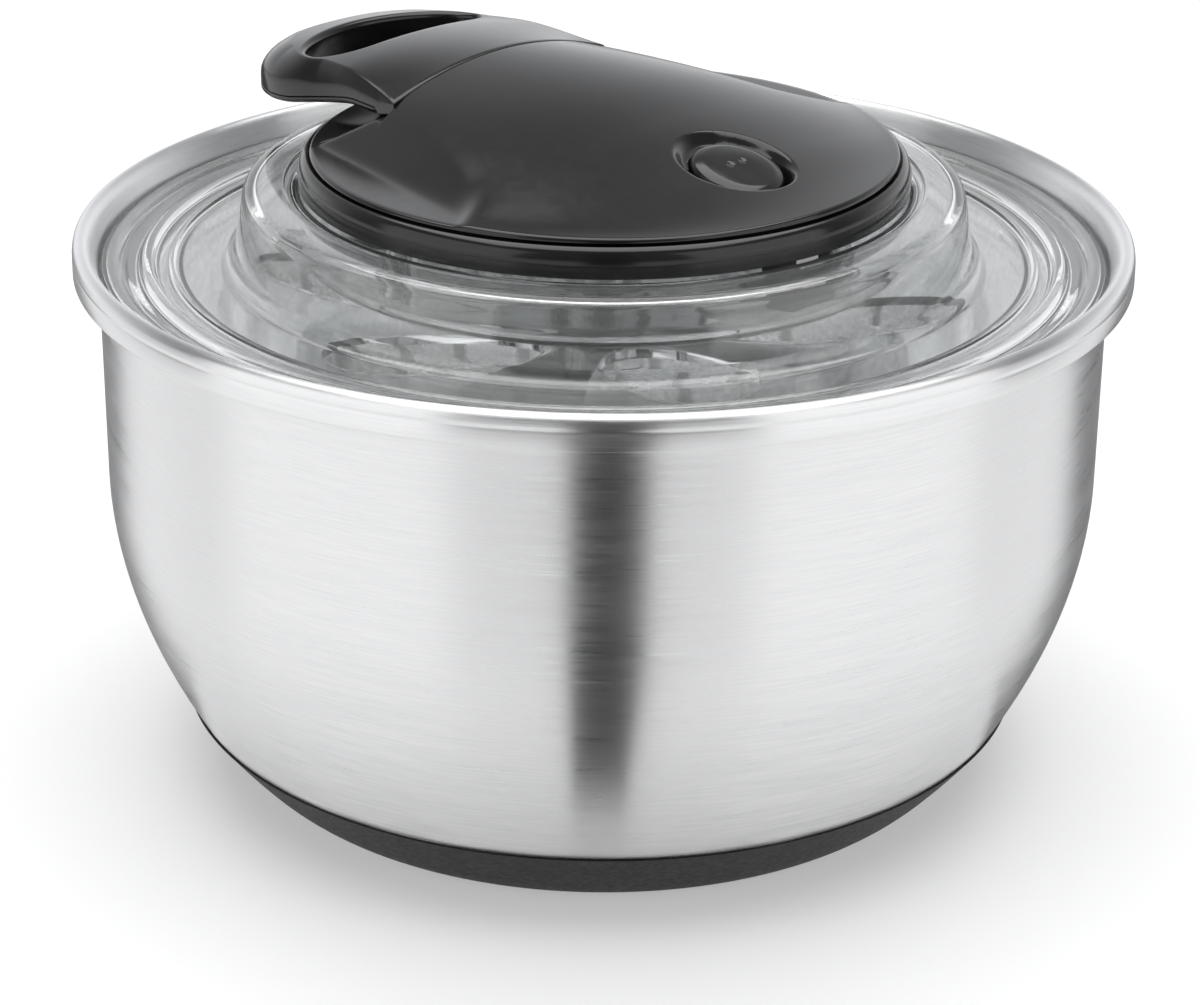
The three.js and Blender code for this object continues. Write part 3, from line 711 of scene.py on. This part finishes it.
def handle_top(x, y):
    fall = 6.3 - 2.3 * smooth_step(-x, 36, 60) - 1.2 * smooth_step(-x, 70, 90)
    return ridge(-x) - fall * (y / HANDLE_HALF) ** 2


def skirt_height(t):
    """Underside along the handle's two sides."""
    at = [33, 38, 42, 54, 66, 80, 87, 110]
    height = [165.6, 165.6, 164.1, 164, 161.5, 158.5, 157.8, 157.2]
    return sum(np.interp(t + shift, at, height) for shift in (-2.4, -1.2, 0, 1.2, 2.4)) / 5


def handle_under(x, y):
    slope = (DOCK_TOP[1] - DOCK_FOOT[1]) / (DOCK_TOP[0] - DOCK_FOOT[0])
    dock = DOCK_TOP[1] + 0.6 + slope * (x - DOCK_TOP[0])
    middle = soft_max(soft_min(dock, DOCK_TOP[1] + 0.6, 0.1), 159.3, 0.25)
    share = smooth_step(np.abs(y), 12, 19)
    return (1 - share) * middle + share * skirt_height(-x)


def bezier(points, count):
    p = np.array(points, float)
    s = np.linspace(0, 1, count, endpoint=False)[:, None]
    return (1 - s) ** 3 * p[0] + 3 * s * (1 - s) ** 2 * p[1] + 3 * s**2 * (1 - s) * p[2] + s**3 * p[3]


def resample(path, centre, angles):
    """The path's points at the given directions from centre."""
    closed = np.vstack([path, path[:1]])
    out = []
    for angle in angles:
        direction = np.array([math.cos(angle), math.sin(angle)])
        best = None
        a, b = closed[:-1] - centre, closed[1:] - centre
        cross_a = direction[0] * a[:, 1] - direction[1] * a[:, 0]
        cross_b = direction[0] * b[:, 1] - direction[1] * b[:, 0]
        hit = np.where((cross_a <= 0) & (cross_b > 0))[0]
        for i in hit:
            s = cross_a[i] / (cross_a[i] - cross_b[i])
            point = a[i] + s * (b[i] - a[i])
            if point @ direction > 0:
                best = point + centre
        out.append(best)
    return np.array(out)


def handle_paths():
    """The outer outline and the finger hole, both running anticlockwise from above."""
    e, h, w, n = HANDLE_END_X, HANDLE_HALF, WAIST_HALF, NEAR_X
    outer = np.vstack([
        [(n, y) for y in np.linspace(-h, h, 40, endpoint=False)],
        bezier([(n, h), (-52, 35), (-58, w), (-72, w)], 40),
        bezier([(-72, w), (-94.5, w), (e, 25), (e, 0)], 60),
        bezier([(e, 0), (e, -25), (-94.5, -w), (-72, -w)], 60),
        bezier([(-72, -w), (-58, -w), (-52, -35), (n, -h)], 40),
    ])
    hole = np.vstack([
        bezier([(-64.3, -16), (-63.9, -8), (-63.9, 8), (-64.3, 16)], 24),
        bezier([(-64.3, 16), (-65, 24), (-69, 28.2), (-74, 28)], 30),
        bezier([(-74, 28), (-83, 27), (-88.6, 12), (-88.6, 0)], 36),
        bezier([(-88.6, 0), (-88.6, -12), (-83, -27), (-74, -28)], 36),
        bezier([(-74, -28), (-69, -28.2), (-65, -24), (-64.3, -16)], 30),
    ])
    return outer, hole


def loop_solid(name, outer, inner, top, under, lip, shoulder, low, sharp=50):
    """A solid between two outlines and two surfaces.

    lip is the rounding over the inner outline, one value per point. shoulder is (reach, drop) per point: how
    far in and how far down the outer side slopes. low is the rounding along the bottom edges."""
    gap = outer - inner
    width = np.linalg.norm(gap, axis=1)
    unit = gap / width[:, None]
    reach = np.minimum(shoulder[0], 0.62 * width)
    lip = np.minimum(lip, 0.3 * width)
    arc = np.linspace(0, math.pi / 2, 9)
    rows = []
    for a in arc:
        rows.append((lip * (1 - math.cos(a)), lip * (1 - math.sin(a)), top))
    for s in np.linspace(0, 1, 19)[1:-1]:
        rows.append((lip + s * (width - lip - reach), 0, top))
    for a in arc:
        share = a / (math.pi / 2)
        slope = 0.42 * share + 0.58 * (1 - math.cos(a))
        rows.append((width - reach * (1 - math.sin(a)), shoulder[1] * slope, top))
    for a in arc:
        rows.append((width - low * (1 - math.cos(a)), -low * (1 - math.sin(a)), under))
    for s in np.linspace(0, 1, 11)[1:-1]:
        rows.append((width - low - s * (width - 2 * low), 0, under))
    for a in arc[::-1]:
        rows.append((low * (1 - math.cos(a)), -low * (1 - math.sin(a)), under))
    columns = []
    for along, drop, surface in rows:
        place = inner + unit * np.broadcast_to(along, width.shape)[:, None]
        columns.append(np.column_stack([place, surface(place[:, 0], place[:, 1]) - drop]))
    grid = np.stack(columns, 1)
    vertices = grid.reshape(-1, 3)
    return finish_mesh(name, vertices, loft_faces(len(outer), grid.shape[1], True, True), sharp=sharp)


def add_handle():
    outer, hole = handle_paths()
    centre = np.array([HOLE_X, 0.0])
    corner = math.atan2(HANDLE_HALF, NEAR_X - HOLE_X)
    angles = np.concatenate([
        np.linspace(-corner, corner, 90, endpoint=False),
        np.linspace(corner, 2 * math.pi - corner, 230, endpoint=False),
    ])
    outer_points = resample(outer, centre, angles)
    hole_points = resample(hole, centre, angles)
    thick, gap, start_x = 1.6, 0.12, -42.0

    def split(x, y):
        return handle_under(x, y) + (thick + gap) * smooth_step(-x, -start_x, -start_x + 1.5)

    out_t = -outer_points[:, 0]
    reach = np.interp(
        out_t, [35.2, 37, 44, 49, 59, 68, 74, 85, 105], [0.5, 0.9, 2, 2.5, 2.8, 3.8, 4.2, 6.5, 9.0],
    )
    top_z = handle_top(outer_points[:, 0], outer_points[:, 1])
    side = top_z - split(outer_points[:, 0], outer_points[:, 1])
    drop = side * np.interp(out_t, [35.2, 37, 44, 105], [0.1, 0.25, 0.75, 0.72])
    lip = np.interp(-hole_points[:, 0], [64, 68, 76], [0.7, 0.9, 2.0])
    grip = loop_solid(
        "handle_grip_skin", outer_points, hole_points, handle_top, split, lip, (reach, drop), 0.25,
    )
    dress(grip, "handle", BLACK, "black_plastic", "handle_grip")

    clipped = outer.copy()
    clipped[:, 0] = np.minimum(clipped[:, 0], start_x - 0.4)
    under_points = resample(clipped, centre, angles)
    small = np.full(len(angles), 0.2)
    shell = loop_solid(
        "handle_under_skin", under_points, hole_points,
        lambda x, y: handle_under(x, y) + thick, handle_under, small, (small, small), 1.2,
    )
    dress(shell, "handle", BLACK, "black_plastic", "handle_under")


# ---- button, cord and hidden pieces -----------------------------------------------------------------
def add_button():
    profile = rounded([
        (0, -14.4), (3, -14.4, 0.4), (3, -6, 0.5), (11.4, -6, 0.4), (11.4, -2.2, 0.4), (10.9, -1.35, 0.9),
        (9.2, -0.75, 1.5),
    ], closed=False)
    dome = [(r, -0.05 - 0.62 * (r / 9.0) ** 2.2) for r in np.linspace(8.6, 0, 32)]
    button = turned("brake_button_skin", np.vstack([profile, dome]), 128, closed=False)
    for vertex in button.data.vertices:
        x, y, z = (value / MM for value in vertex.co)
        if z > -1.2:
            for across in (-2.1, 2.1):
                near = math.hypot(x + 1.0, y - across)
                vertex.co.z -= 0.32 * MM * math.exp(-((near / 0.75) ** 2))
            vertex.co.z -= 0.5 * MM * math.exp(-(((x - 3.5) / 6) ** 2 + (y / 7) ** 2))
    button.data.transform(Matrix.Rotation(BUTTON_TILT, 4, "Y"))
    button.data.transform(Matrix.Translation((BUTTON_X * MM, 0, BUTTON_Z * MM)))
    dress(button, "button", BLACK, "black_plastic", "brake_button")


def tube_data(points, radius, sides=14):
    """Points and faces of a round cord along a list of points, closed at both ends."""
    points = np.asarray(points, float)
    ahead = np.gradient(points, axis=0)
    ahead /= np.linalg.norm(ahead, axis=1, keepdims=True)
    side = np.cross(ahead, [0, 0, 1.0])
    side /= np.linalg.norm(side, axis=1, keepdims=True)
    up = np.cross(side, ahead)
    angles = np.linspace(0, 2 * math.pi, sides, endpoint=False)
    rings = points[:, None] + radius * (
        np.cos(angles)[None, :, None] * side[:, None] + np.sin(angles)[None, :, None] * up[:, None]
    )
    vertices = rings.reshape(-1, 3)
    faces = loft_faces(len(points), sides, False, True)
    last = (len(points) - 1) * sides
    faces += [tuple(range(sides))[::-1], tuple(range(last, last + sides))]
    return vertices, faces


def add_cord():
    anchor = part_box("cord_anchor")
    eyelet_z = (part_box("cord_eyelet")[0][2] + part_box("cord_eyelet")[1][2]) / 2 / MM
    end_x = anchor[1][0] / MM + 0.1
    knots = np.array([
        (-16.6, 20.1, 155.0), (-22, 14.4, 156.2), (-28, 9, 157.6), (-34.5, 2.4, 160.6), (-37.6, 0.15, 161.4),
        (-41.5, 0, eyelet_z), (-45, 0, eyelet_z), (-49, 0, eyelet_z), (end_x, 0, eyelet_z + 0.1),
    ])
    lengths = np.concatenate([[0], np.cumsum(np.linalg.norm(np.diff(knots, axis=0), axis=1))])
    fine = np.linspace(0, lengths[-1], 90)
    path = np.stack([np.interp(fine, lengths, knots[:, k]) for k in range(3)], 1)
    for _ in range(8):
        path[1:-1] = (path[:-2] + 2 * path[1:-1] + path[2:]) / 4
    cord = finish_mesh("cord_lead_braid", *tube_data(path, 0.8))
    cord.data.materials.append(CORD)
    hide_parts("cord_lead", "cord_run")
    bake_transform(cord)

    low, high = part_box("cord_winding")
    turns, radius = 3, 0.8
    bottom, reach = low[2] / MM, high[0] / MM
    profile = [(22.4, high[2] / MM), (22.4, bottom)]
    for i in range(turns):
        for a in np.linspace(-math.pi / 2, math.pi / 2, 9):
            height = bottom + radius * (2 * i + 1) + radius * math.sin(a)
            profile.append((reach - radius + radius * math.cos(a), height))
    dress(turned("cord_winding_braid", profile, 128, sharp=70), "spool", CORD, "cord", "cord_winding")


def finish_hidden():
    """The CAD pieces that stay: inner works, each in its own finish."""
    finishes = {
        BRIGHT: [
            *SCREW_NODES, "recoil_spring", "arm_pin", "brake_spring", "drive_shaft", "drive_screw",
            "cord_anchor",
        ],
        WHITE: ["lid_bush", "brake_disc", "ratchet_wheel", "spool", "brake_arm"],
        BLACK: ["arm_bracket", "pawl_1", "pawl_2"],
        SILICONE: ["brake_pad"],
    }
    for material, names in finishes.items():
        for name in names:
            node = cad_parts[name]
            node.data.materials.clear()
            node.data.materials.append(material)


# ---- stage ------------------------------------------------------------------------------------------
def add_plane(name, corners, material):
    mesh = bpy.data.meshes.new(name)
    mesh.from_pydata([tuple(c) for c in corners], [], [tuple(range(len(corners)))])
    plane = bpy.data.objects.new(name, mesh)
    bpy.context.collection.objects.link(plane)
    mesh.materials.append(material)
    return plane


def add_light(name, bearing, distance, height, size, power, aim=(0, 0, 0.08)):
    """A softbox at a bearing round from the camera's side, in degrees, positive to its right."""
    angle = math.radians(bearing)
    data = bpy.data.lights.new(name, "AREA")
    data.shape = "RECTANGLE"
    data.size, data.size_y = size
    data.energy = power
    light = bpy.data.objects.new(name, data)
    bpy.context.collection.objects.link(light)
    place = (TOWARDS_CAMERA * math.cos(angle) + CAMERA_RIGHT * math.sin(angle)) * distance
    light.location = place + Vector((0, 0, height))
    light.rotation_euler = (light.location - Vector(aim)).to_track_quat("Z", "Y").to_euler()


def add_stage():
    scene = bpy.context.scene
    scene.view_settings.view_transform = "Standard"
    white = Nodes("floor_white", Roughness=0.9)
    white.shader.inputs["Specular IOR Level"].default_value = 0.1
    white.tint(white.span(white.noise(3.0), 0, 1), (0.6, 0.6, 0.6), (0.62, 0.62, 0.62))
    white.shader.inputs["Emission Color"].default_value = (1, 1, 1, 1)
    white.shader.inputs["Emission Strength"].default_value = 0.36
    size = 4.0
    corners = [(-size, -size, 0), (size, -size, 0), (size, size, 0), (-size, size, 0)]
    add_plane("floor", corners, white.material)

    dark = Nodes("dark_card", Roughness=1.0)
    dark.tint(dark.span(dark.noise(5.0), 0, 1), (0.012, 0.012, 0.012), (0.016, 0.016, 0.016))
    near, far, high = 0.135, 1.6, 2.2
    half_near, half_far, lean = 0.009, 0.25, CAMERA_RIGHT * 0.06
    front = [TOWARDS_CAMERA * near + CAMERA_RIGHT * side for side in (-half_near, half_near)]
    back = [TOWARDS_CAMERA * far + CAMERA_RIGHT * side + lean for side in (half_far, -half_far)]
    up = Vector((0, 0, 0.0006))
    grey = Nodes("grey_card", Roughness=1.0)
    grey.tint(grey.span(grey.noise(5.0), 0, 1), (0.08, 0.08, 0.08), (0.1, 0.1, 0.1))
    behind = [(-1.3, -1.6), (1.6, -1.6), (0.5, -0.3), (0.14, 0.03), (-0.14, 0.02), (-0.42, -0.3)]
    upright = [back[0], back[0] + Vector((0, 0, high)), back[1] + Vector((0, 0, high)), back[1]]
    rear = [CAMERA_RIGHT * a + TOWARDS_CAMERA * b + up for a, b in behind]
    cards = [
        add_plane("dark_card_floor", [p + up for p in front + back], dark.material),
        add_plane("grey_card_behind", rear, grey.material),
        add_plane("dark_card_upright", upright, dark.material),
    ]
    for card in cards:
        card.visible_camera = False
        card.visible_diffuse = False
        card.visible_transmission = False
        card.visible_shadow = False
        card.visible_volume_scatter = False

    add_light("softbox_left", -58, 1.4, 0.55, (1.5, 1.1), 6)
    add_light("softbox_right", 58, 1.4, 0.55, (1.5, 1.1), 6)
    add_light("softbox_top", 180, 0.3, 2.3, (2.6, 2.6), 66)
    add_world()


def map_range(tree, source, start, end, low, high):
    node = tree.nodes.new("ShaderNodeMapRange")
    node.interpolation_type = "SMOOTHSTEP"
    for socket, value in zip(("From Min", "From Max", "To Min", "To Max"), (start, end, low, high)):
        node.inputs[socket].default_value = value
    tree.links.new(source, node.inputs["Value"])
    return node.outputs["Result"]


def add_world():
    """A pale backdrop behind the object, brightest at its foot, and a dim room everywhere else."""
    world = bpy.data.worlds.new("studio")
    world.use_nodes = True
    tree = world.node_tree
    heading = tree.nodes.new("ShaderNodeTexCoord").outputs["Generated"]
    split = tree.nodes.new("ShaderNodeSeparateXYZ")
    tree.links.new(heading, split.inputs[0])
    facing = tree.nodes.new("ShaderNodeVectorMath")
    facing.operation = "DOT_PRODUCT"
    facing.inputs[1].default_value = -TOWARDS_CAMERA
    tree.links.new(heading, facing.inputs[0])
    backdrop = map_range(tree, split.outputs[2], 0.0, 0.85, 1.05, 0.0)
    share = map_range(tree, facing.outputs["Value"], 0.1, 0.7, 0.0, 1.0)
    strength = tree.nodes.new("ShaderNodeMath")
    strength.operation = "MULTIPLY_ADD"
    tree.links.new(backdrop, strength.inputs[0])
    tree.links.new(share, strength.inputs[1])
    strength.inputs[2].default_value = 0.22
    tree.links.new(strength.outputs[0], tree.nodes["Background"].inputs["Strength"])
    tree.nodes["Background"].inputs["Color"].default_value = (0.97, 0.98, 1.0, 1)
    bpy.context.scene.world = world


add_camera()
add_bowl()
add_basket()
add_lid()
add_drive_plate()
add_cover()
add_handle()
add_button()
add_cord()
finish_hidden()
add_stage()
